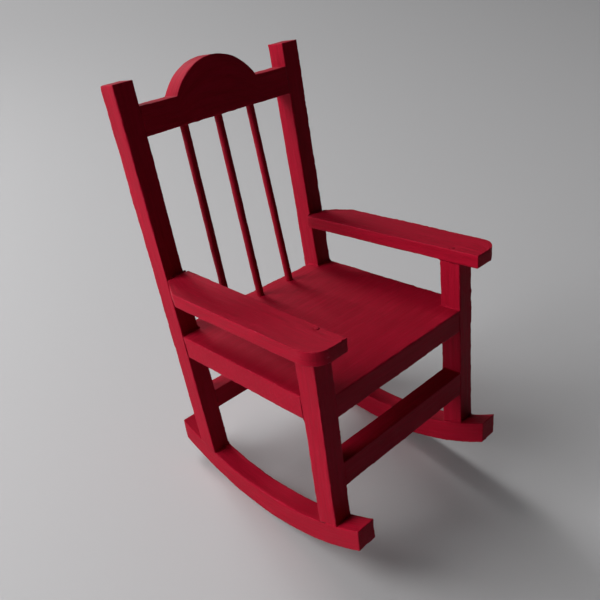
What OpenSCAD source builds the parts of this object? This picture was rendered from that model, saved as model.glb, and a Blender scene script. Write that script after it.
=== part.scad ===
// Miniature wooden rocking chair for a 1:12 dolls house. Sizes are in millimetres.
//
// The chair is drawn upright in its own frame: X across the seat, Y from front to back, Z up,
// with Y = 0 at the seat's front edge and Z = 0 at the seat's top. at_rest() then leans the whole
// chair back to where it balances on its rockers and sets it on the floor at Z = 0.
// Left and right are the sitter's, so left is +X.

/* [Seat] */
// Width of the seat board
seat_w = 50; // [46:0.5:56]
// Depth of the seat board, front to back
seat_d = 48.3; // [47.5:0.1:49.5]
// Thickness of the seat board
seat_t = 5.6; // [4:0.1:7]

/* [Front legs] */
// Width of a front leg
leg_w = 4.7; // [4:0.1:5.6]
// Depth of a front leg
leg_d = 5.3; // [4:0.1:6.5]
// Forward splay of the front legs' feet, in degrees
leg_splay = 1.6; // [0:0.1:3]

/* [Back posts] */
// Width of a back post
post_w = 4.9; // [4:0.1:5.6]
// Depth of a back post
post_d = 5.2; // [5:0.1:6.5]
// Distance from the seat's front edge to the posts' front faces at the seat's top
post_y = 44.7; // [43.7:0.1:45.2]
// Backward rake of the posts, in degrees
post_rake = 4.5; // [2:0.1:7]
// Length of a post above the seat
post_h = 55.2; // [52:0.1:60]

/* [Rockers] */
// Width of a rocker
rocker_w = 5.1; // [4.6:0.1:5.6]
// Thickness of a rocker at its middle
rocker_t = 6.3; // [5:0.1:7]
// Radius of the curved underside
rocker_r = 64.1; // [60:0.1:72]
// Radius of the curved top
rocker_top_r = 67; // [62:0.1:75]
// Distance from the seat's top down to the rockers' lowest point
rocker_drop = 42.4; // [41:0.1:46]
// Distance from the seat's front edge back to the middle of the curve
rocker_y = 24.2; // [23:0.1:26]
// How far a rocker's front end stands forward of the seat
rocker_front = 7.3; // [6:0.1:9]
// Distance from the seat's front edge to a rocker's back end
rocker_back = 54.5; // [53:0.1:57]

/* [Armrests] */
// Height of the armrests' top above the seat
arm_z = 14.3; // [11:0.1:18]
// Thickness of an armrest
arm_t = 3.1; // [2.5:0.1:4]
// Overhang in front of the seat
arm_front = 4.3; // [3:0.1:6]
// Distance from the chair's middle to an armrest's inner edge, at its front
arm_in = 20.2; // [19.5:0.1:20.8]
// How much nearer the middle the inner edge is at its back
arm_taper = 1.3; // [0:0.1:2]
// Distance from the chair's middle to an armrest's outer edge
arm_out = 28.7; // [27:0.1:31]
// Length of the flare from the post out to the outer edge
arm_flare = 7.6; // [5:0.1:12]
// Radius of the rounded front outer corner
arm_corner_r = 4.4; // [3:0.1:6]

/* [Crest rail] */
// Distance from the seat up to the rail's bottom edge, along the posts
rail_z = 44.1; // [40:0.1:46]
// Height of the rail at its ends
rail_h = 6.1; // [5:0.1:7.5]
// Thickness of the rail
rail_t = 4.9; // [4:0.1:5]
// Radius of the round crest
crest_r = 12.8; // [12:0.1:15]
// Rise of the round crest above the rail
crest_rise = 6.2; // [4:0.1:9]

/* [Spindles] */
// Diameter of a spindle
spindle_d = 1.9; // [1.5:0.1:2.4]
// Depth of a spindle's drilled sockets
socket_depth = 3; // [2:0.1:4]
// Clearance on a socket's diameter, filled with glue
socket_gap = 0.1; // [0.05:0.05:0.15]
// Spacing of the spindles at the seat
spindle_pitch = 10.1; // [7:0.1:12]
// Spacing of the spindles at the crest rail
spindle_top_pitch = 9.4; // [7:0.1:12]
// Distance from the seat's front edge to the spindles
spindle_y = 45.4; // [44:0.1:46]

/* [Stretchers] */
// Distance from the seat's top down to the front stretcher, along the legs
front_bar_z = 16.7; // [14:0.1:18]
// Height of the front stretcher
front_bar_h = 6.2; // [5:0.1:7]
// Thickness of the front stretcher
front_bar_t = 4.8; // [3.5:0.1:5.3]
// Distance from the seat's top down to the back stretcher, along the posts
back_bar_z = 17.4; // [14:0.1:18]
// Height of the back stretcher
back_bar_h = 5; // [4:0.1:7]
// Thickness of the back stretcher
back_bar_t = 5; // [3.5:0.1:5]

/* [Arm brads] */
// Diameter of a brad's shank
brad_d = 0.6; // [0.4:0.1:0.8]
// Diameter of a brad's head
brad_head_d = 1; // [0.9:0.1:1.4]
// Thickness of a brad's head
brad_head_t = 0.3; // [0.2:0.1:0.5]
// Length of a brad, from the top of its head
brad_l = 8; // [6:0.5:9]
// Distance from the chair's middle to a brad, which goes down into a leg near its inner side
brad_x = 21; // [21:0.1:23]

/* [Hidden] */

$fn = 96;
LEFT = 1;
RIGHT = -1;
MIDDLE = 0;
// Longer than any piece, for cutting blocks and bars that are trimmed afterwards
FAR = 200;
// How far a cut runs on past the piece it opens
OVERRUN = 2;
// Turn of a rod about its own axis, which keeps its seam line clear of the edges that it crosses
SEAM_TURN = 45;

half_w = seat_w / 2;
arm_under = arm_z - arm_t;
// Heights of the centres of the rocker's two arcs
arc_z = rocker_r - rocker_drop;
top_arc_z = rocker_top_r - rocker_drop + rocker_t;

// Heights of a rocker's underside and top at a given Y
function rocker_under(y) = arc_z - sqrt(rocker_r * rocker_r - (y - rocker_y) * (y - rocker_y));
function rocker_top(y) = top_arc_z - sqrt(rocker_top_r * rocker_top_r - (y - rocker_y) * (y - rocker_y));
// Y and Z of a point given in the back posts' raked frame
function raked_y(y, z) = post_y + y * cos(post_rake) + z * sin(post_rake);
function raked_z(y, z) = z * cos(post_rake) - y * sin(post_rake);

// Balance: each entry is a volume and the Y and Z of its centre. A cut-out's volume is negative.
// The round crest is taken as a parabola, whose area is 2/3 of its box's and whose centre is 2/5
// of the way up it. The rockers' ends curve up in the same way, so their centre rises by 1/3.
function upright(volume, y, z) = [volume, y, z];
function on_posts(volume, y, z) = [volume, raked_y(y, z), raked_z(y, z)];
function on_legs(volume, y, z) = [volume, y + z * sin(leg_splay), z];

rocker_len = rocker_front + rocker_back;
rocker_rise = rocker_under(rocker_back) + rocker_drop;
rocker_mean_t = rocker_t - (rocker_under(rocker_back) + rocker_t - rocker_top(rocker_back)) / 3;
leg_foot = rocker_top(leg_d / 2);
post_foot = rocker_top(post_y);
leg_mid = (arm_under + leg_foot) / 2;
post_mid = (post_h + post_foot) / 2;
seat_mid = -seat_t / 2;
arm_mid = arm_z - arm_t / 2;
arm_back = raked_y(0, arm_z);
arm_w = arm_out - arm_in + arm_taper / 2;
leg_span = seat_w - 2 * leg_w;
post_span = seat_w - 2 * post_w;
crest_half = sqrt(crest_r * crest_r - (crest_r - crest_rise) * (crest_r - crest_rise));
weights = [
    upright(2 * rocker_w * rocker_mean_t * rocker_len, (rocker_back - rocker_front) / 2,
            rocker_mean_t / 2 - rocker_drop + rocker_rise / 3),
    on_legs(2 * leg_w * leg_d * (arm_under - leg_foot), leg_d / 2, leg_mid),
    on_posts(2 * post_w * post_d * (post_h - post_foot), post_d / 2, post_mid),
    upright(seat_t * seat_w * seat_d, seat_d / 2, seat_mid),
    upright(-2 * seat_t * leg_w * leg_d, leg_d / 2, seat_mid),
    upright(-2 * seat_t * post_w * (seat_d - post_y), (seat_d + post_y) / 2, seat_mid),
    upright(2 * arm_t * arm_w * (arm_back + arm_front), (arm_back - arm_front) / 2, arm_mid),
    upright(-arm_t * (arm_out - half_w) * arm_flare, arm_back - arm_flare / 3, arm_mid),
    on_posts(rail_t * rail_h * post_span, rail_t / 2, rail_z + rail_h / 2),
    on_posts(rail_t * crest_rise * 2 * crest_half * 2 / 3, rail_t / 2, rail_z + rail_h + crest_rise * 2 / 5),
    on_legs(front_bar_t * front_bar_h * leg_span, front_bar_t / 2, -front_bar_z - front_bar_h / 2),
    on_posts(back_bar_t * back_bar_h * post_span, back_bar_t / 2, -back_bar_z - back_bar_h / 2),
    upright(3 * PI * spindle_d * spindle_d / 4 * rail_z, spindle_y + rail_z * sin(post_rake) / 2, rail_z / 2)
];
total_volume = [for (w = weights) w[0]] * [for (w = weights) 1];
mass_y = [for (w = weights) w[0]] * [for (w = weights) w[1]] / total_volume;
mass_z = [for (w = weights) w[0]] * [for (w = weights) w[2]] / total_volume;
// The chair rolls until its centre of mass is straight below the centre of the rockers' arc
rest_lean = atan2(mass_y - rocker_y, arc_z - mass_z);

// Y after the chair has leaned back, and the furthest points at its back and front
function leaned_y(y, z) = y * cos(rest_lean) + z * sin(rest_lean);
post_back = leaned_y(raked_y(post_d, post_h), raked_z(post_d, post_h));
crest_top = rail_z + rail_h + crest_rise;
crest_back = leaned_y(raked_y(rail_t, crest_top), raked_z(rail_t, crest_top));
front_tip = leaned_y(-rocker_front, rocker_under(-rocker_front));
rest_y = (max(post_back, crest_back) + front_tip) / 2;
rest_z = rocker_r - arc_z * cos(rest_lean) + rocker_y * sin(rest_lean);

// ---- Frames ----

// Leans the upright chair back and stands it on the floor, centred on the origin
module at_rest() {
    translate([0, -rest_y, rest_z]) rotate([-rest_lean, 0, 0]) children();
}

// Frame of the back posts: origin at their front face at the seat's top, Z along the posts
module raked() {
    translate([0, post_y, 0]) rotate([-post_rake, 0, 0]) children();
}

// Frame of the front legs: origin at the seat's front edge, Z along the legs
module splayed() {
    rotate([-leg_splay, 0, 0]) children();
}

// Keeps a left-hand piece, or mirrors it to the right-hand side
module on_side(side) {
    if (side == LEFT) children();
    else mirror([1, 0, 0]) children();
}

// ---- Stock ----

// A cylinder across the chair, centred on Y and Z
module roller(radius, y, z) {
    translate([-FAR / 2, y, z]) rotate([0, 90, 0]) cylinder(r = radius, h = FAR, $fn = 360);
}

// Everything inside the rockers' top curve, which trims the feet of the legs and posts
module above_rockers() {
    roller(rocker_top_r, rocker_y, top_arc_z);
}

// A leg's or post's full bar. The notch that takes it runs on past the seat's edges by overrun.
module leg_bar(side, overrun = 0) {
    on_side(side) splayed()
        translate([half_w - leg_w, -overrun, -FAR / 2])
        cube([leg_w + overrun, leg_d + overrun, FAR]);
}

module post_bar(side, overrun = 0) {
    on_side(side) raked()
        translate([half_w - post_w, 0, -FAR / 2])
        cube([post_w + overrun, post_d + overrun, FAR / 2 + post_h]);
}

// A round rod from one point to another
module rod(from, to, diameter) {
    run = to - from;
    translate(from)
        rotate([0, acos(run[2] / norm(run)), atan2(run[1], run[0])])
        rotate([0, 0, SEAM_TURN]) cylinder(d = diameter, h = norm(run), $fn = 32);
}

// A spindle's rod, which also drills its sockets
module spindle_rod(side, diameter) {
    foot = [abs(side) * spindle_pitch, spindle_y, 0];
    head = [abs(side) * spindle_top_pitch, raked_y(rail_t / 2, rail_z), raked_z(rail_t / 2, rail_z)];
    sunk = (head - foot) / norm(head - foot) * socket_depth;
    on_side(side < 0 ? RIGHT : LEFT) rod(foot - sunk, head + sunk, diameter);
}

module arm_brad(side) {
    translate([side * brad_x, leg_d / 2, arm_z]) {
        translate([0, 0, -brad_head_t]) cylinder(d = brad_head_d, h = brad_head_t, $fn = 24);
        translate([0, 0, -brad_l]) cylinder(d = brad_d, h = brad_l, $fn = 24);
    }
}

// ---- Pieces ----

module rocker(side) {
    color("#a31f36") intersection() {
        difference() {
            roller(rocker_r, rocker_y, arc_z);
            above_rockers();
        }
        translate([side * (half_w - rocker_w / 2) - rocker_w / 2, -rocker_front, -rocker_drop - OVERRUN])
            cube([rocker_w, rocker_len, rocker_drop]);
    }
}

module front_leg(side) {
    color("#a81f38") difference() {
        intersection() {
            leg_bar(side);
            above_rockers();
            translate([-FAR / 2, -FAR / 2, arm_under - FAR]) cube(FAR);
        }
        arm_brad(side);
    }
}

module back_post(side) {
    color("#a81f38") intersection() {
        post_bar(side);
        above_rockers();
    }
}

module seat_board() {
    color("#9c2036") difference() {
        difference() {
            translate([-half_w, 0, -seat_t]) cube([seat_w, seat_d, seat_t]);
            for (side = [RIGHT, LEFT]) {
                leg_bar(side, OVERRUN);
                post_bar(side, OVERRUN);
            }
        }
        for (side = [RIGHT, MIDDLE, LEFT]) spindle_rod(side, spindle_d + socket_gap);
    }
}

// Plan of the left armrest, run on past the post so that the post's face can trim its back
module arm_plan() {
    post_front = raked_y(0, arm_z);
    back = post_front + OVERRUN;
    polygon([
        [arm_in, -arm_front],
        [arm_out, -arm_front],
        [arm_out, post_front - arm_flare],
        [half_w, post_front],
        [half_w, back],
        [arm_in - arm_taper, back]
    ]);
}

module armrest(side) {
    corner = [arm_out - arm_corner_r, arm_corner_r - arm_front];
    color("#a3203a") on_side(side) difference() {
        translate([0, 0, arm_under]) linear_extrude(arm_t) arm_plan();
        // Rounded front outer corner
        translate([corner[0], corner[1], arm_under - OVERRUN]) difference() {
            translate([0, -2 * arm_corner_r, 0])
                cube([2 * arm_corner_r, 2 * arm_corner_r, arm_t + 2 * OVERRUN]);
            cylinder(r = arm_corner_r, h = arm_t + 2 * OVERRUN);
        }
        raked() translate([0, 0, -FAR / 2]) cube([FAR, FAR, FAR]);
        arm_brad(LEFT);
    }
}

module crest_rail() {
    inner = half_w - post_w;
    color("#8c1c30") difference() {
        raked() {
            translate([-inner, 0, rail_z]) cube([2 * inner, rail_t, rail_h]);
            intersection() {
                translate([0, 0, rail_z + rail_h + crest_rise - crest_r])
                    rotate([-90, 0, 0]) cylinder(r = crest_r, h = rail_t);
                translate([-crest_r, 0, rail_z + rail_h / 2]) cube([2 * crest_r, rail_t, 2 * crest_r]);
            }
        }
        for (side = [RIGHT, MIDDLE, LEFT]) spindle_rod(side, spindle_d + socket_gap);
    }
}

module spindle(side) {
    color("#8c1c30") spindle_rod(side, spindle_d);
}

module front_stretcher() {
    inner = half_w - leg_w;
    color("#8c1c30") splayed()
        translate([-inner, 0, -front_bar_z - front_bar_h]) cube([2 * inner, front_bar_t, front_bar_h]);
}

module back_stretcher() {
    inner = half_w - post_w;
    color("#8c1c30") raked()
        translate([-inner, 0, -back_bar_z - back_bar_h]) cube([2 * inner, back_bar_t, back_bar_h]);
}

module painted_brad(side) {
    color("#7a1728") arm_brad(side);
}

at_rest() rocker(LEFT);  // rocker_left
at_rest() rocker(RIGHT);  // rocker_right
at_rest() front_leg(LEFT);  // front_leg_left
at_rest() front_leg(RIGHT);  // front_leg_right
at_rest() back_post(LEFT);  // back_post_left
at_rest() back_post(RIGHT);  // back_post_right
at_rest() seat_board();
at_rest() armrest(LEFT);  // armrest_left
at_rest() armrest(RIGHT);  // armrest_right
at_rest() crest_rail();
at_rest() spindle(LEFT);  // spindle_left
at_rest() spindle(MIDDLE);  // spindle_middle
at_rest() spindle(RIGHT);  // spindle_right
at_rest() front_stretcher();
at_rest() back_stretcher();
at_rest() painted_brad(LEFT);  // arm_brad_left
at_rest() painted_brad(RIGHT);  // arm_brad_right
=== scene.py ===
import math

import bpy
import numpy as np
from mathutils import Matrix, Vector
from mathutils.bvhtree import BVHTree


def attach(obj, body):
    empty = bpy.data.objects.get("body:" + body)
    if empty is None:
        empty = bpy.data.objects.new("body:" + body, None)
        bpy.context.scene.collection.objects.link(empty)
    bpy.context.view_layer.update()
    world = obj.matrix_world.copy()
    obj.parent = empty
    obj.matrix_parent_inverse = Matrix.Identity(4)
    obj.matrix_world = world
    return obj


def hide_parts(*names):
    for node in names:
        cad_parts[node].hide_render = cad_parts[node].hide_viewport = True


# Looks of the miniature rocking chair. Every piece is remade here with worn edges, hand-sawn
# faces and brushed paint, at the places and sizes that the CAD gives.
#
# Lengths are in millimetres in this file and are turned into metres as each mesh is made. The
# shared frame is the CAD's: X to the chair's left, Y to its back and Z up. A tilted frame is the
# shared frame turned about X, so that its Z runs along a leg, along a post or squarely off the seat.

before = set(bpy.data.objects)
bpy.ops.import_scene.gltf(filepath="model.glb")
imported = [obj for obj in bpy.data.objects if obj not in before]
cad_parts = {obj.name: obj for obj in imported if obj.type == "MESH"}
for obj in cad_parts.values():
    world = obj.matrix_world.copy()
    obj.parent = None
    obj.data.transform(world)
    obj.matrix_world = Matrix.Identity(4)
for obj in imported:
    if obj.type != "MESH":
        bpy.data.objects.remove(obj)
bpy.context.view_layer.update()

MM = 0.001
SEED = 11

# ---------------------------------------------------------------- noise


def lattice(cell, seed):
    """A repeatable number from -1 to 1 for each whole-number point of a lattice."""
    n = cell.astype(np.int64)
    h = n[:, 0] * 374761393 + n[:, 1] * 668265263 + n[:, 2] * 1440662683 + seed * 1274126177
    h &= 0xFFFFFFFF
    h = ((h ^ (h >> 13)) * 1103515245) & 0xFFFFFFFF
    h = ((h ^ (h >> 15)) * 2246822519) & 0xFFFFFFFF
    return ((h ^ (h >> 16)) & 0xFFFF) / 32767.5 - 1.0


def noise(points, size, seed):
    """Smooth noise from -1 to 1. size is the width of a lump, as a number or per axis."""
    p = points / np.asarray(size, float)
    cell = np.floor(p)
    f = p - cell
    f = f * f * (3 - 2 * f)
    out = np.zeros(len(p))
    for corner in range(8):
        step = np.array([corner & 1, corner >> 1 & 1, corner >> 2 & 1])
        weight = np.prod(np.where(step, f, 1 - f), axis=1)
        out += weight * lattice(cell + step, seed)
    return out


# ---------------------------------------------------------------- frames


class Frame:
    """The shared frame turned about X by an angle, with its origin at a point of the shared frame."""

    def __init__(self, angle, origin=(0, 0, 0)):
        self.angle = angle
        self.c, self.s = math.cos(angle), math.sin(angle)
        self.origin = np.array(origin, float)

    def out(self, p):
        """Points of this frame, in the shared frame."""
        p = np.asarray(p, float)
        x, y, z = p[..., 0], p[..., 1], p[..., 2]
        return np.stack([x, y * self.c + z * self.s, z * self.c - y * self.s], -1) + self.origin

    def into(self, p):
        """Points of the shared frame, in this frame."""
        p = np.asarray(p, float) - self.origin
        x, y, z = p[..., 0], p[..., 1], p[..., 2]
        return np.stack([x, y * self.c - z * self.s, z * self.c + y * self.s], -1)


def cad(node):
    """A CAD node's points, in millimetres in the shared frame."""
    return np.array([v.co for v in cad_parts[node].data.vertices]) / MM


def tilt(node):
    """How far a node leans back, from the largest of its faces that look forward."""
    area = {}
    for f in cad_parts[node].data.polygons:
        n = f.normal
        if abs(n.x) < 0.02 and n.y < -0.7:
            key = round(math.atan2(n.z, -n.y), 3)
            area[key] = area.get(key, 0) + f.area
    return max(area, key=area.get)


def box(node, at):
    """A node's lowest and highest corners in a tilted frame."""
    p = at.into(cad(node))
    return p.min(0), p.max(0)


turned = Frame(tilt("seat_board"))
lo, hi = box("seat_board", turned)
SEAT = Frame(turned.angle, turned.out([0, lo[1], hi[2]]))
LEGS = Frame(tilt("front_leg_left"), SEAT.origin)
POSTS = Frame(tilt("back_post_left"), SEAT.origin)


class Probe:
    """Casts rays at a CAD node in a tilted frame."""

    def __init__(self, node, at):
        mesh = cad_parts[node].data
        points = [Vector(p) for p in at.into(cad(node))]
        self.tree = BVHTree.FromPolygons(points, [tuple(f.vertices) for f in mesh.polygons])

    def hit(self, starts, direction, axis):
        """The coordinate along axis at which a ray from each start first meets the node."""
        d = Vector(direction)
        found = np.full(len(starts), np.nan)
        for i, p in enumerate(starts):
            where = self.tree.ray_cast(Vector(p), d)[0]
            if where is not None:
                found[i] = where[axis]
        return found


def waves(points, seed, layers):
    """A sum of noises. Each layer is the noise's height and the width of its lumps."""
    return sum(height * noise(points, width, seed + k) for k, (height, width) in enumerate(layers))


# ---------------------------------------------------------------- meshes

# Grid lines inside a rounded edge, as shares of the furthest that its rounding can reach
EDGE_LINES = (0, 0.12, 0.3, 0.55, 1)
REACH = 0.62
# How far a board's faces lie inside the CAD's, so that its lumps stay within them
SKIN_DEPTH = 0.075
# How far from an edge its fuzz fades out
FUZZ_REACH = 0.45
# Layers of noise: how the rounding of an edge wanders, as shares of its radius, how a board's faces
# go up and down, in longer lumps along its grain, and how its fuzzy edges do
WANDER = (0.35, 3.5), (0.25, 1.1)
LUMPS = (0.055, (5, 5, 11)), (0.022, (1.1, 1.1, 3.5))
FUZZ = (0.09, 0.55), (0.07, 1.4)
# Where noise of this width passes this level, a chip widens the rounding, by this much of the rest
CHIP_WIDTH, CHIP_LEVEL, CHIP_RATE = 2.2, 0.55, 0.22
# Stands for a distance from an edge that is sharp, so has no fuzz
FAR_OFF = 9


def lines(lo, hi, step, fine_lo=True, fine_hi=True, extra=()):
    """Grid lines from lo to hi, closer together at a worn edge."""
    start = [lo + REACH * e for e in EDGE_LINES] if fine_lo else [lo]
    end = [hi - REACH * e for e in reversed(EDGE_LINES)] if fine_hi else [hi]
    count = max(1, round((end[0] - start[-1]) / step))
    inner = np.linspace(start[-1], end[0], count + 1)[1:-1]
    return np.unique(np.round(np.concatenate([start, inner, end, list(extra)]), 5))


def skin(cells):
    """Corner numbers and quads of the surface round the kept cells of a grid."""
    padded = np.pad(cells, 1)
    quads = []
    for axis in range(3):
        u, v = [k for k in range(3) if k != axis]
        for side in (0, 1):
            bare = padded & ~np.roll(padded, -1 if side else 1, axis)
            base = np.argwhere(bare) - 1
            base[:, axis] += side
            ring = []
            for du, dv in ((0, 0), (1, 0), (1, 1), (0, 1)):
                q = base.copy()
                q[:, u] += du
                q[:, v] += dv
                ring.append(q)
            ring = np.stack(ring, 1)
            quads.append(ring[:, ::-1] if (side == 0) != (axis == 1) else ring)
    corners = np.concatenate(quads).reshape(-1, 3)
    shape = np.array(cells.shape) + 1
    keys = np.ravel_multi_index(corners.T, shape)
    used, quads = np.unique(keys, return_inverse=True)
    return np.stack(np.unravel_index(used, shape), -1), quads.reshape(-1, 4)


def normals(points, quads):
    """The surface's outward direction at each point."""
    a, b, c, d = (points[quads[:, k]] for k in range(4))
    face = np.cross(c - a, d - b)
    out = np.zeros_like(points)
    for k in range(4):
        np.add.at(out, quads[:, k], face)
    return out / np.maximum(np.linalg.norm(out, axis=1, keepdims=True), 1e-12)


def make(name, points, quads, local, wear, material, at=None, replaces=()):
    """A finished piece from points in a tilted frame.

    local says where each point lies in the wood, for the paint's streaks, and wear how worn the
    paint is there, from 0 to 1.
    """
    mesh = bpy.data.meshes.new(name)
    world = (at.out(points) if at else points) * MM
    mesh.from_pydata(world.tolist(), [], [[int(i) for i in q] for q in quads])
    mesh.polygons.foreach_set("use_smooth", [True] * len(mesh.polygons))
    grain = mesh.attributes.new("grain", "FLOAT_VECTOR", "POINT")
    grain.data.foreach_set("vector", local.astype(np.float32).ravel())
    worn = mesh.attributes.new("wear", "FLOAT", "POINT")
    worn.data.foreach_set("value", wear.astype(np.float32))
    mesh.update()
    o = bpy.data.objects.new(name, mesh)
    bpy.context.scene.collection.objects.link(o)
    mesh.materials.append(material)
    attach(o, "root")
    if replaces:
        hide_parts(*replaces)
    return o


PIECE_SEEDS = {n: SEED + 7 * i for i, n in enumerate(sorted(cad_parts))}


def board(node, at, grain_axis, step=0.5, butt=(), free=None, shape=None, cells=None,
          radius=0.3, radius_at=None, extra=None, bumps=()):
    """A hand-sawn, painted board in place of a CAD node.

    butt names the faces that meet another piece, such as "x-": their edges stay sharp. free is the
    box to start from in place of the node's own, cells leaves parts of it out, and shape maps the
    rounded box onto the real outline. radius_at scales the rounding from place to place, extra adds
    grid lines, and bumps are (centre, width, height) of local swellings.
    """
    lo, hi = free if free is not None else box(node, at)
    seed = PIECE_SEEDS[node]
    extra = extra or {}
    flags = np.array([[f"{a}{s}" not in butt for a in "xyz"] for s in "-+"])
    grid = [lines(lo[k], hi[k], step, flags[0, k], flags[1, k], extra.get("xyz"[k], ()))
            for k in range(3)]
    kept = np.ones([len(g) - 1 for g in grid], bool)
    if cells is not None:
        kept = cells(grid, kept)
    index, quads = skin(kept)
    flat = np.stack([grid[k][index[:, k]] for k in range(3)], -1)

    # Worn, rounded edges whose radius wanders, with a small chip here and there
    r = radius * (1 + waves(flat, seed, WANDER))
    r += CHIP_RATE * np.clip(noise(flat, CHIP_WIDTH, seed + 2) - CHIP_LEVEL, 0, 1)
    if radius_at is not None:
        r = r * radius_at(flat)
    r = np.clip(r, 0.05, REACH)[:, None]
    inner = np.clip(flat, lo + r * flags[0], hi - r * flags[1])
    away = flat - inner
    length = np.maximum(np.linalg.norm(away, axis=1, keepdims=True), 1e-9)
    points = inner + away * np.minimum(1, r / length)
    wear = np.clip((length / r - 1) / 0.41, 0, 1)[:, 0]

    # How near the closest worn edge is, for the fuzz that a saw and thick paint leave there. A point
    # on an edge is near two of the box's faces, so the second nearest face tells.
    gap = np.minimum(flat - lo, hi - flat)
    gap += np.where(gap < 0, FAR_OFF, 0)
    low_side = flat - lo < hi - flat
    gap = np.where(low_side & ~flags[0] | ~low_side & ~flags[1], FAR_OFF, gap)
    near = np.exp(-np.sort(gap, axis=1)[:, 1] / FUZZ_REACH)

    local = flat[:, [(grain_axis + 1) % 3, (grain_axis + 2) % 3, grain_axis]]
    if shape is not None:
        points = shape(points)
    out = normals(points, quads)
    lumps = waves(local, seed + 3, LUMPS) + near * waves(local, seed + 5, FUZZ)
    points = points + out * (lumps - SKIN_DEPTH)[:, None]
    for centre, width, height in bumps:
        reach = np.exp(-((points - centre) ** 2).sum(1) / (2 * width * width))
        points = points + out * (height * reach)[:, None]
    # Each board is cut from its own place in the wood
    shift = np.array([lattice(np.array([[seed, k, 3]]), 5)[0] * 40 for k in range(3)])
    wear = np.maximum(wear, near * 0.6)
    return make(node, points, quads, local + shift, wear, red_paint, at, [node])


# ---------------------------------------------------------------- materials


class Nodes:
    """Shorthand for building a node tree."""

    def __init__(self, name):
        self.material = bpy.data.materials.new(name)
        self.material.use_nodes = True
        self.tree = self.material.node_tree
        self.tree.nodes.clear()
        self.output = self.add("ShaderNodeOutputMaterial")

    def add(self, kind, **settings):
        node = self.tree.nodes.new(kind)
        for key, value in settings.items():
            setattr(node, key, value)
        return node

    def link(self, source, target):
        self.tree.links.new(source, target)

    def noise(self, vector, scale, detail=4.0, roughness=0.55):
        n = self.add("ShaderNodeTexNoise")
        n.inputs["Scale"].default_value = scale
        n.inputs["Detail"].default_value = detail
        n.inputs["Roughness"].default_value = roughness
        self.link(vector, n.inputs["Vector"])
        return n.outputs["Fac"]

    def stretch(self, vector, scale):
        n = self.add("ShaderNodeMapping")
        n.inputs["Scale"].default_value = scale
        self.link(vector, n.inputs["Vector"])
        return n.outputs["Vector"]

    def ramp(self, value, low, high, to_low=0.0, to_high=1.0):
        n = self.add("ShaderNodeMapRange")
        limits = {"From Min": low, "From Max": high, "To Min": to_low, "To Max": to_high}
        for socket, number in limits.items():
            n.inputs[socket].default_value = number
        self.link(value, n.inputs["Value"])
        return n.outputs["Result"]

    def math(self, kind, a, b):
        n = self.add("ShaderNodeMath", operation=kind)
        for socket, value in zip(n.inputs, (a, b)):
            if isinstance(value, (int, float)):
                socket.default_value = value
            else:
                self.link(value, socket)
        return n.outputs[0]

    def mix(self, factor, a, b):
        n = self.add("ShaderNodeMix", data_type="RGBA")
        self.link(factor, n.inputs["Factor"])
        for socket, value in ((n.inputs[6], a), (n.inputs[7], b)):
            if isinstance(value, tuple):
                socket.default_value = (*value, 1)
            else:
                self.link(value, socket)
        return n.outputs[2]


# The paint's colours where it is thick, as it mostly is, and where it is brushed thin
DEEP, BODY, THIN = (0.23, 0.0022, 0.0115), (0.32, 0.0028, 0.0165), (0.42, 0.006, 0.029)
SCUFF = (0.5, 0.085, 0.13)
DIRT = (0.11, 0.004, 0.008)
# The gloss takes the paint's colour, so that a bright window doesn't wash it out
GLOSS_TINT = (1, 0.12, 0.25, 1)


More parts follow.
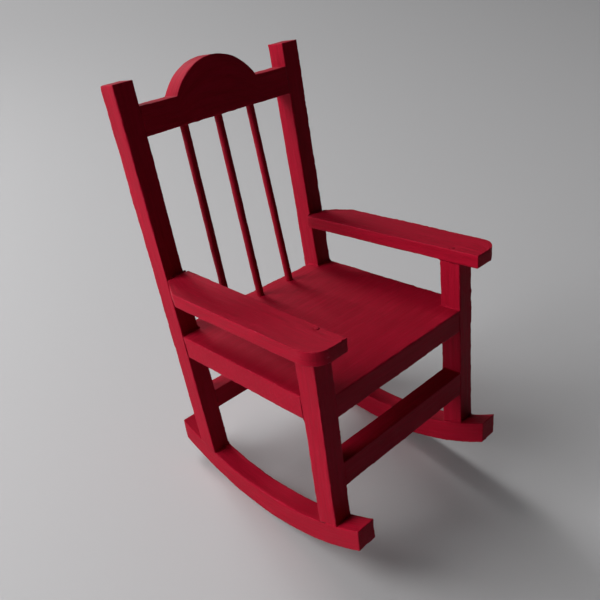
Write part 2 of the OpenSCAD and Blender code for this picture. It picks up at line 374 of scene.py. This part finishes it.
def paint(name, tone=1.0):
    """Brushed crimson paint on wood: streaks along the grain, thin and worn at the edges."""
    k = Nodes(name)
    place = k.add("ShaderNodeAttribute", attribute_name="grain").outputs["Vector"]
    worn = k.add("ShaderNodeAttribute", attribute_name="wear").outputs["Fac"]
    fibres = k.noise(k.stretch(place, (4.2, 4.2, 0.32)), 1.0, 6, 0.62)
    brush = k.noise(k.stretch(place, (1.5, 1.5, 0.09)), 1.0, 3, 0.5)
    patches = k.noise(k.stretch(place, (0.09, 0.09, 0.05)), 1.0, 3, 0.5)
    grit = k.noise(place, 5.5, 3, 0.6)

    deep, body, thin = (tuple(part * tone for part in c) for c in (DEEP, BODY, THIN))
    colour = k.mix(k.ramp(fibres, 0.33, 0.62), deep, body)
    colour = k.mix(k.ramp(brush, 0.42, 0.75, 0, 0.5), colour, thin)
    colour = k.mix(k.ramp(patches, 0.35, 0.7, 0, 0.35), colour, deep)
    rubbed = k.math("MULTIPLY", k.ramp(grit, 0.4, 0.65), k.math("MULTIPLY", worn, 0.55))
    colour = k.mix(rubbed, colour, thin)

    # Pale scuffs in places along the worn edges, and dirt in others
    spots = k.noise(k.stretch(place, (2.4, 2.4, 1.1)), 1.0, 4, 0.7)
    scuffed = k.math("MULTIPLY", k.ramp(spots, 0.56, 0.66, 0, 0.55), k.ramp(worn, 0.3, 0.7))
    dirty = k.math("MULTIPLY", k.ramp(spots, 0.44, 0.34, 0, 0.5), k.ramp(worn, 0.3, 0.7))
    colour = k.mix(scuffed, colour, SCUFF)
    colour = k.mix(dirty, colour, DIRT)

    height = k.math("ADD", k.math("MULTIPLY", fibres, 0.55), k.math("MULTIPLY", brush, 0.35))
    height = k.math("ADD", height, k.math("MULTIPLY", grit, 0.18))
    bump = k.add("ShaderNodeBump")
    bump.inputs["Strength"].default_value = 0.55
    bump.inputs["Distance"].default_value = 0.0002
    k.link(height, bump.inputs["Height"])

    shader = k.add("ShaderNodeBsdfPrincipled")
    shader.inputs["Specular IOR Level"].default_value = 0.3
    shader.inputs["Specular Tint"].default_value = GLOSS_TINT
    k.link(colour, shader.inputs["Base Color"])
    roughness = k.math("ADD", k.ramp(fibres, 0.3, 0.7, 0.6, 0.78), k.math("MULTIPLY", worn, 0.06))
    k.link(roughness, shader.inputs["Roughness"])
    k.link(bump.outputs["Normal"], shader.inputs["Normal"])
    k.link(shader.outputs["BSDF"], k.output.inputs["Surface"])
    return k.material


red_paint = paint("red_paint")
brad_paint = paint("painted_brad", 0.8)

# ---------------------------------------------------------------- places taken from the CAD

# Where rays that look for a surface start: beside and above the chair, and this far under a piece
BESIDE, ABOVE, BELOW = 60, 100, 20
# How far the ends of a bar run on into the pieces between which it is glued
SUNK = 0.3
# How far a foot runs on into the rocker
FOOT_SUNK = 0.05

seat_lo, seat_hi = box("seat_board", SEAT)
leg_lo, leg_hi = box("front_leg_left", LEGS)
post_lo, _ = box("back_post_left", POSTS)
rail_lo, rail_hi = box("crest_rail", POSTS)
arm_lo, arm_hi = box("armrest_left", SEAT)
# X of the inner faces of the left-hand leg and post, and of the outer face of both
leg_in, post_in, outer_x = leg_lo[0], post_lo[0], leg_hi[0]
# Y of the notches' walls at the seat's top: the back of a leg and the front of a post
leg_back = leg_hi[1]
post_front = SEAT.into(POSTS.out([post_in, post_lo[1], 0]))[1]


def sides(prefix):
    """The left and the right node of a pair, each with the sign of its X."""
    return ((f"{prefix}_left", 1), (f"{prefix}_right", -1))


# ---------------------------------------------------------------- legs, posts and stretchers


def foot_shape(node, runner, at):
    """Maps a leg's or post's box onto its real foot, which follows the rocker's curved top."""
    lo, hi = box(node, at)
    rays = Probe(runner, at)
    x = (lo[0] + hi[0]) / 2
    ys = np.linspace(lo[1], hi[1], 9)
    tops = rays.hit([(x, y, 0) for y in ys], (0, 0, -1), 2)
    curve = np.polyfit(ys, tops, 2)

    def shape(p):
        q = p.copy()
        foot = np.polyval(curve, p[:, 1]) - FOOT_SUNK
        share = (p[:, 2] - lo[2]) / (hi[2] - lo[2])
        q[:, 2] = foot + share * (hi[2] - foot)
        return q
    return shape


def tight_in_seat(at):
    """Keeps edges crisp where a leg or post is let into the seat board, and a little beyond."""
    def scale(p):
        z = SEAT.into(at.out(p))[:, 2]
        inside = (z > seat_lo[2] - 0.3) & (z < 0.2)
        return np.where(inside, 0.25, 1)
    return scale


def front_leg(node, side, runner):
    # A sliver stands out from the left-hand leg's outer corner, just above the seat
    sliver = [((outer_x, 0, 3), 0.3, 0.3)] if side > 0 else []
    board(node, LEGS, 2, butt=("z-", "z+"), shape=foot_shape(node, runner, LEGS),
          radius_at=tight_in_seat(LEGS), bumps=sliver)


def back_post(node, runner):
    board(node, POSTS, 2, butt=("z-",), shape=foot_shape(node, runner, POSTS),
          radius_at=tight_in_seat(POSTS))


def stretcher(node, at):
    lo, hi = box(node, at)
    lo[0] -= SUNK
    hi[0] += SUNK
    board(node, at, 0, butt=("x-", "x+"), free=(lo, hi), radius=0.26)


# ---------------------------------------------------------------- seat


def seat_cells(grid, kept):
    """Leaves out the corners of the seat board that the legs and posts fill."""
    mid = [(g[1:] + g[:-1]) / 2 for g in grid]
    x, y = np.abs(mid[0])[:, None], mid[1][None, :]
    gone = (x > leg_in) & (y < leg_back) | (x > post_in) & (y > post_front)
    return kept & ~gone[:, :, None]


def seat_shape(p):
    """Leans the notches' walls with the legs and posts, and saws the back edge a little askew."""
    q = p.copy()
    share = np.clip((p[:, 1] - post_front) / (seat_hi[1] - post_front), 0, 1)
    q[:, 1] += share * (0.4 - 0.017 * p[:, 0])
    for where, at in ((leg_back, LEGS), (post_front, POSTS)):
        near = np.clip(1 - np.abs(p[:, 1] - where) / 2.5, 0, 1)
        lean = np.tan(at.angle - SEAT.angle)
        q[:, 1] += near * lean * p[:, 2] * (np.abs(p[:, 0]) > leg_in - 0.2)
    return q


def seat_board():
    board("seat_board", SEAT, 0, step=0.6, cells=seat_cells, shape=seat_shape, radius=0.3,
          extra={"x": (-leg_in, leg_in, -post_in, post_in), "y": (leg_back, post_front)})


# ---------------------------------------------------------------- rockers


def rocker(node, side):
    """A runner, made as a straight bar and then bent onto the CAD's two curves."""
    lo, hi = box(node, SEAT)
    rays = Probe(node, SEAT)
    x = (lo[0] + hi[0]) / 2
    ys = np.linspace(lo[1] + 0.02, hi[1] - 0.02, 60)
    top = np.polyfit(ys, rays.hit([(x, y, 0) for y in ys], (0, 0, -1), 2), 6)
    below = lo[2] - BELOW
    under = np.polyfit(ys, rays.hit([(x, y, below) for y in ys], (0, 0, 1), 2), 6)
    middle = (lo[1] + hi[1]) / 2
    bar_top = np.polyval(top, middle)
    outer = side * max(abs(lo[0]), abs(hi[0]))

    def bent(p):
        q = p.copy()
        share = (p[:, 2] - lo[2]) / (bar_top - lo[2])
        low, high = np.polyval(under, p[:, 1]), np.polyval(top, p[:, 1])
        q[:, 2] = low + share * (high - low)
        return q

    def worn_middle(p):
        """The outer top edge is sanded away more in the middle of the rocker."""
        there = np.exp(-((p[:, 1] - middle) / 9) ** 2)
        there = there * (p[:, 2] > bar_top - 1) * (np.abs(p[:, 0] - outer) < 1)
        return 1 + 1.1 * there

    board(node, SEAT, 1, free=(lo, np.array([hi[0], hi[1], bar_top])), shape=bent, radius=0.32,
          radius_at=worn_middle)


# ---------------------------------------------------------------- armrests

# Length of an armrest's front end where its outline turns quickly, and so is sampled finely
ARM_TURN = 5
# How open the butt joint with the post is at its outer end, and over what length it opens
ARM_GAP, ARM_GAP_LENGTH = 0.7, 3
# Grid lines round a brad, as distances from its middle
BRAD_LINES = (0.14, 0.28, 0.42, 0.6, 0.9)


def arm_shape(node, side):
    """Maps a box onto the armrest's plan: tapered inside, flared and rounded outside."""
    lo, hi = box(node, SEAT)
    rays = Probe(node, SEAT)
    z = (lo[2] + hi[2]) / 2
    ys = np.concatenate([lo[1] + ARM_TURN * np.linspace(0.001, 1, 60) ** 2,
                         np.linspace(lo[1] + ARM_TURN + 0.1, hi[1] - 0.05, 120)])
    outer = rays.hit([(side * BESIDE, y, z) for y in ys], (-side, 0, 0), 0)
    inner = rays.hit([(0, y, z) for y in ys], (side, 0, 0), 0)
    met = ~np.isnan(outer) & ~np.isnan(inner)
    ys, outer, inner = ys[met], outer[met], inner[met]
    edge_in, edge_out = (lo[0], hi[0]) if side > 0 else (hi[0], lo[0])

    def shape(p):
        q = p.copy()
        share = (p[:, 0] - edge_in) / (edge_out - edge_in)
        a, b = np.interp(p[:, 1], ys, inner), np.interp(p[:, 1], ys, outer)
        q[:, 0] = a + share * (b - a)
        opening = np.clip(1 - (hi[1] - p[:, 1]) / ARM_GAP_LENGTH, 0, 1)
        q[:, 1] -= ARM_GAP * share ** 2 * opening
        return q
    return shape


def armrest(node, side, brad):
    lo, hi = box(node, SEAT)
    p = SEAT.into(cad(brad))
    spot = np.array([p[:, 0].mean(), p[:, 1].mean(), hi[2]])
    ring = np.array([-d for d in reversed(BRAD_LINES)] + [0] + list(BRAD_LINES))
    front = tuple(lo[1] + ARM_TURN * t * t for t in np.linspace(0.05, 1, 22))
    dimple = (spot, 0.42, -0.2)
    board(node, SEAT, 1, shape=arm_shape(node, side), radius=0.28,
          extra={"x": tuple(spot[0] + ring), "y": front + tuple(spot[1] + ring)}, bumps=[dimple])


# ---------------------------------------------------------------- crest rail

rays = Probe("crest_rail", POSTS)
rail_x = np.linspace(rail_lo[0] + 0.01, rail_hi[0] - 0.01, 900)
rail_y = (rail_lo[1] + rail_hi[1]) / 2
# Height of the rail's top edge along rail_x, and at its two ends
rail_z = rays.hit([(x, rail_y, ABOVE) for x in rail_x], (0, 0, -1), 2)
shoulder = rail_z[0]


def rail_shape(p):
    q = p.copy()
    share = (p[:, 2] - rail_lo[2]) / (shoulder - rail_lo[2])
    q[:, 2] = rail_lo[2] + share * (np.interp(p[:, 0], rail_x, rail_z) - rail_lo[2])
    return q


def crest_rail():
    crest = rail_x[rail_z > shoulder + 0.05]
    near_base = tuple(base + way * d for base in (crest[0], crest[-1]) for way in (-1, 1)
                      for d in (0, 0.04, 0.1, 0.2, 0.35, 0.55, 0.8))
    free = (np.array([rail_lo[0] - SUNK, rail_lo[1], rail_lo[2]]),
            np.array([rail_hi[0] + SUNK, rail_hi[1], shoulder]))
    board("crest_rail", POSTS, 0, butt=("x-", "x+"), free=free, shape=rail_shape, radius=0.3,
          extra={"x": near_base})


for (leg, side), (runner, _) in zip(sides("front_leg"), sides("rocker")):
    front_leg(leg, side, runner)
for (post, _), (runner, _) in zip(sides("back_post"), sides("rocker")):
    back_post(post, runner)
stretcher("front_stretcher", LEGS)
stretcher("back_stretcher", POSTS)
seat_board()
for node, side in sides("rocker"):
    rocker(node, side)
for (node, side), (brad, _) in zip(sides("armrest"), sides("arm_brad")):
    armrest(node, side, brad)
crest_rail()

# ---------------------------------------------------------------- paint in the joints

UP, DOWN, FRONT, BACK = (0, 0, 1), (0, 0, -1), (0, -1, 0), (0, 1, 0)
# How far a run of paint reaches up each face: in most joints, in the thinnest ones, and where the
# seat meets the right-hand post
BEAD, THIN_BEAD, THICK_BEAD = 0.34, 0.28, 1.1
# How long a run's segments are, how its reach wanders, and how deep its back lies in the pieces
BEAD_STEP, BEAD_WANDER, BEAD_SUNK = 0.3, ((0.4, 1.3), (0.25, 0.5)), 0.09


class Beads:
    """Runs of paint in inner corners, gathered into one mesh."""

    def __init__(self):
        self.points, self.local, self.quads = [], [], []

    def add(self, at, start, end, face_a, face_b, size=BEAD):
        """A run from start to end, in the corner between two faces given by the ways they look."""
        start, end, a, b = (np.array(v, float) for v in (start, end, face_a, face_b))
        run = np.linalg.norm(end - start)
        count = max(4, round(run / BEAD_STEP))
        t = np.linspace(0, 1, count)
        line = start + (end - start) * t[:, None]
        reach = size * (1 + waves(line, SEED + 50, BEAD_WANDER))
        fade = np.clip(np.minimum(t, 1 - t) * run / 0.5 + 0.35, 0, 1)
        reach = np.maximum(reach * fade, 0.05)[:, None]

        # The section is a hollow curve from face to face, closed by a corner sunk behind them
        across = np.linspace(0, 1, 6)
        section = list(zip(across ** 2, (1 - across) ** 2)) + [(-0.25, -0.25)]
        sunk = (a + b) * BEAD_SUNK
        rings = np.stack([line + (a * m + b * n) * reach - sunk for m, n in section], 1)
        first = sum(len(p) for p in self.points)
        corners = len(section)
        flip = np.dot(np.cross(a, b), end - start) < 0
        for i in range(count - 1):
            here, there = first + i * corners, first + (i + 1) * corners
            for j in range(corners):
                k = (j + 1) % corners
                quad = [here + j, here + k, there + k, there + j]
                self.quads.append(quad[::-1] if flip else quad)
        for ring, turn in ((0, not flip), (count - 1, flip)):
            cap = [first + ring * corners + j for j in range(corners)]
            self.quads.append(cap[::-1] if turn else cap)
        self.points.append(at.out(rings.reshape(-1, 3)))
        self.local.append(rings.reshape(-1, 3))

    def seat_joints(self, side):
        """Round the legs and posts, on the seat's top and underside."""
        inward = (-side, 0, 0)
        for z, way in ((0, UP), (seat_lo[2], DOWN)):
            y = post_front + math.tan(POSTS.angle - SEAT.angle) * z
            self.add(SEAT, (side * post_in, y, z), (side * outer_x, y, z), way, FRONT)
            size = THICK_BEAD if side < 0 and way == UP else BEAD
            self.add(SEAT, (side * post_in, y, z), (side * post_in, seat_hi[1], z), way, inward, size)
            y = leg_back + math.tan(LEGS.angle - SEAT.angle) * z
            self.add(SEAT, (side * leg_in, y, z), (side * outer_x, y, z), way, BACK)
            self.add(SEAT, (side * leg_in, 0.3, z), (side * leg_in, leg_back, z), way, inward)

    def arm_joints(self, side):
        """Round the leg under the armrest, and where the armrest meets the post."""
        z = LEGS.into(SEAT.out([0, 0, arm_lo[2]]))[2]
        near, far, out = side * leg_in, side * outer_x, (side, 0, 0)
        self.add(LEGS, (near, 0, z), (far, 0, z), DOWN, FRONT)
        self.add(LEGS, (near, leg_back, z), (far, leg_back, z), DOWN, BACK)
        self.add(LEGS, (far, 0, z), (far, leg_back, z), DOWN, out)
        for z, way in ((arm_hi[2], UP), (arm_lo[2], DOWN)):
            up_post = POSTS.into(SEAT.out([0, post_front, z]))[2]
            y = SEAT.into(POSTS.out([0, post_lo[1], up_post]))[1]
            self.add(SEAT, (side * (post_in - 0.6), y, z), (side * (outer_x - 1.2), y, z), way, FRONT,
                     THIN_BEAD)

    def bar_joints(self, side):
        """Where the stretchers and the crest rail meet the legs and posts."""
        inward = (-side, 0, 0)
        for node, at, inner in (("front_stretcher", LEGS, leg_in), ("back_stretcher", POSTS, post_in)):
            x = side * inner
            lo, hi = box(node, at)
            for z, way in ((hi[2], UP), (lo[2], DOWN)):
                self.add(at, (x, lo[1] + 0.2, z), (x, hi[1], z), way, inward)
            self.add(at, (x, hi[1], lo[2]), (x, hi[1], hi[2]), BACK, inward)
        x = side * post_in
        for z, way in ((shoulder, UP), (rail_lo[2], DOWN)):
            self.add(POSTS, (x, rail_lo[1] + 0.2, z), (x, rail_hi[1], z), way, inward, THIN_BEAD)

    def foot_joints(self, side):
        """Round the feet of the leg and the post, on the rocker's top."""
        far = side * outer_x
        for part, at, inner in (("front_leg_left", LEGS, leg_in), ("back_post_left", POSTS, post_in)):
            x = side * inner
            lo, hi = box(part, at)
            rays = Probe("rocker_left", at)
            middle = (lo[0] + hi[0]) / 2
            front, back = rays.hit([(middle, y, 0) for y in (lo[1], hi[1])], (0, 0, -1), 2)
            self.add(at, (x, lo[1], front), (far, lo[1], front), UP, FRONT)
            self.add(at, (x, hi[1], back), (far, hi[1], back), UP, BACK)
            self.add(at, (x, lo[1], front), (x, hi[1], back), UP, (-side, 0, 0))


beads = Beads()
for side in (1, -1):
    beads.seat_joints(side)
    beads.arm_joints(side)
    beads.bar_joints(side)
    beads.foot_joints(side)
points = np.concatenate(beads.points)
make("paint_beads", points, beads.quads, np.concatenate(beads.local), np.full(len(points), 0.3),
     red_paint)

# ---------------------------------------------------------------- spindles and brads

# Corners round a turned piece, and the layers of noise that make it uneven
ROUND = 24
UNEVEN = (1, (1.6, 1.6, 1.5)), (0.6, (0.9, 0.9, 0.35))


def lathe(node, start, end, profile, material, wobble, seed):
    """A turned piece from start to end. profile gives (distance along, radius) pairs."""
    axis = (end - start) / np.linalg.norm(end - start)
    u = np.cross(axis, [0, 1, 0])
    u /= np.linalg.norm(u)
    v = np.cross(axis, u)
    angles = np.linspace(0, 2 * math.pi, ROUND, endpoint=False)
    x, y = np.cos(angles), np.sin(angles)
    ring = np.outer(x, u) + np.outer(y, v)
    points, local = [], []
    for along, radius in profile:
        probe = np.stack([x, y, np.full(ROUND, along / 3.0)], -1)
        r = radius * (1 + wobble * waves(probe, seed, UNEVEN))
        points.append(start + axis * along + ring * r[:, None])
        local.append(np.stack([x * radius, y * radius, np.full(ROUND, along)], -1))
    quads = []
    for i in range(len(profile) - 1):
        here, there = i * ROUND, (i + 1) * ROUND
        for j in range(ROUND):
            k = (j + 1) % ROUND
            quads.append((here + j, here + k, there + k, there + j))
    last = (len(profile) - 1) * ROUND
    caps = [list(range(ROUND))[::-1], [last + j for j in range(ROUND)]]
    points = np.concatenate(points)
    local = np.concatenate(local) + seed
    make(node, points, quads + caps, local, np.zeros(len(points)), material, None, [node])


def spindle(node):
    p = cad(node)
    low = p[:, 2] < (p[:, 2].min() + p[:, 2].max()) / 2
    start, end = p[low].mean(0), p[~low].mean(0)
    radius = np.linalg.norm(p[low] - start, axis=1).max()
    profile = [(t, radius * 0.97) for t in np.linspace(0, np.linalg.norm(end - start), 110)]
    lathe(node, start, end, profile, red_paint, 0.05, PIECE_SEEDS[node])


def arm_brad(node):
    """A brad whose painted-over head lies just below the armrest's top."""
    p = SEAT.into(cad(node))
    lo, hi = p.min(0), p.max(0)
    x, y = (lo[:2] + hi[:2]) / 2
    length = hi[2] - lo[2]
    head = (hi[0] - lo[0]) / 2
    shank = 0.3
    profile = [(0, 0.05), (0.8, shank), (length - 0.32, shank),
               (length - 0.24, head * 0.9), (length - 0.13, head), (length - 0.07, head * 0.95),
               (length - 0.045, head * 0.7), (length - 0.035, head * 0.35), (length - 0.03, 0.03)]
    lathe(node, SEAT.out([x, y, lo[2]]), SEAT.out([x, y, hi[2]]), profile, brad_paint, 0.03, 3)


for place in ("left", "middle", "right"):
    spindle(f"spindle_{place}")
for node, _ in sides("arm_brad"):
    arm_brad(node)

# ---------------------------------------------------------------- floor, light and camera

# Half the width of the floor, in metres
FLOOR = 4.0


def floor_material():
    k = Nodes("studio_floor")
    shader = k.add("ShaderNodeBsdfPrincipled")
    shader.inputs["Roughness"].default_value = 0.75
    shader.inputs["Specular IOR Level"].default_value = 0.25
    shader.inputs["Base Color"].default_value = (0.485, 0.482, 0.49, 1)
    k.link(shader.outputs["BSDF"], k.output.inputs["Surface"])
    return k.material


def add_floor():
    mesh = bpy.data.meshes.new("floor")
    corners = [(-FLOOR, -FLOOR, 0), (FLOOR, -FLOOR, 0), (FLOOR, FLOOR, 0), (-FLOOR, FLOOR, 0)]
    mesh.from_pydata(corners, [], [(0, 1, 2, 3)])
    floor = bpy.data.objects.new("floor", mesh)
    bpy.context.scene.collection.objects.link(floor)
    mesh.materials.append(floor_material())


def toward(azimuth, elevation):
    """The way from the chair to a place round it. Azimuth 0 is in front of the chair."""
    return Vector((math.sin(azimuth) * math.cos(elevation), -math.cos(azimuth) * math.cos(elevation),
                   math.sin(elevation)))


def area_light(name, azimuth, elevation, distance, size, watts, aim):
    """A square soft light, placed by angles in degrees and metres from the point aim."""
    back = toward(math.radians(azimuth), math.radians(elevation))
    data = bpy.data.lights.new(name, "AREA")
    data.energy = watts
    data.size = size
    light = bpy.data.objects.new(name, data)
    light.location = Vector(aim) + back * distance
    light.rotation_mode = "QUATERNION"
    light.rotation_quaternion = back.to_track_quat("Z", "Y")
    bpy.context.scene.collection.objects.link(light)


def add_world():
    world = bpy.data.worlds.new("studio")
    world.use_nodes = True
    background = world.node_tree.nodes["Background"]
    background.inputs["Color"].default_value = (1, 1, 1, 1)
    background.inputs["Strength"].default_value = 0.009
    bpy.context.scene.world = world


def add_camera(place, azimuth, elevation, roll):
    """A camera at a place in millimetres. Its back is turned to its azimuth and elevation."""
    camera = bpy.data.cameras.new("camera")
    camera.sensor_width = 36
    camera.lens = 39.845
    camera.shift_x, camera.shift_y = 0.01439, 0.09201
    camera.clip_start, camera.clip_end = 0.01, 20
    azimuth, elevation, roll = (math.radians(d) for d in (azimuth, elevation, roll))
    back = toward(azimuth, elevation)
    level = Vector((math.cos(azimuth), math.sin(azimuth), 0))
    above = back.cross(level)
    right = level * math.cos(roll) + above * math.sin(roll)
    up = back.cross(right)
    turn = Matrix(((right.x, up.x, back.x), (right.y, up.y, back.y), (right.z, up.z, back.z)))
    eye = bpy.data.objects.new("camera", camera)
    eye.matrix_world = Matrix.Translation(Vector(place) * MM) @ turn.to_4x4()
    bpy.context.scene.collection.objects.link(eye)
    bpy.context.scene.camera = eye


add_floor()
# The room's windows are to the chair's right and behind it, so its shadows fall forward and left
area_light("window_low", -105, 11, 0.62, 0.32, 1.95, (0, 0, 0.04))
area_light("window_side", -132, 31, 0.62, 0.36, 2.6, (-0.02, 0, 0.03))
area_light("window_back", -188, 36, 2.4, 0.5, 17, (-0.03, 0, 0))
area_light("window_far", -193, 44, 2.4, 0.7, 10, (-0.03, 0, 0))
area_light("ceiling", -135, 60, 2.0, 0.9, 8.2, (-0.03, 0, 0))
add_world()
bpy.context.scene.view_settings.view_transform = "Standard"
add_camera((-91.891, -90.168, 128.377), -42.599, 36.966, -2.104)
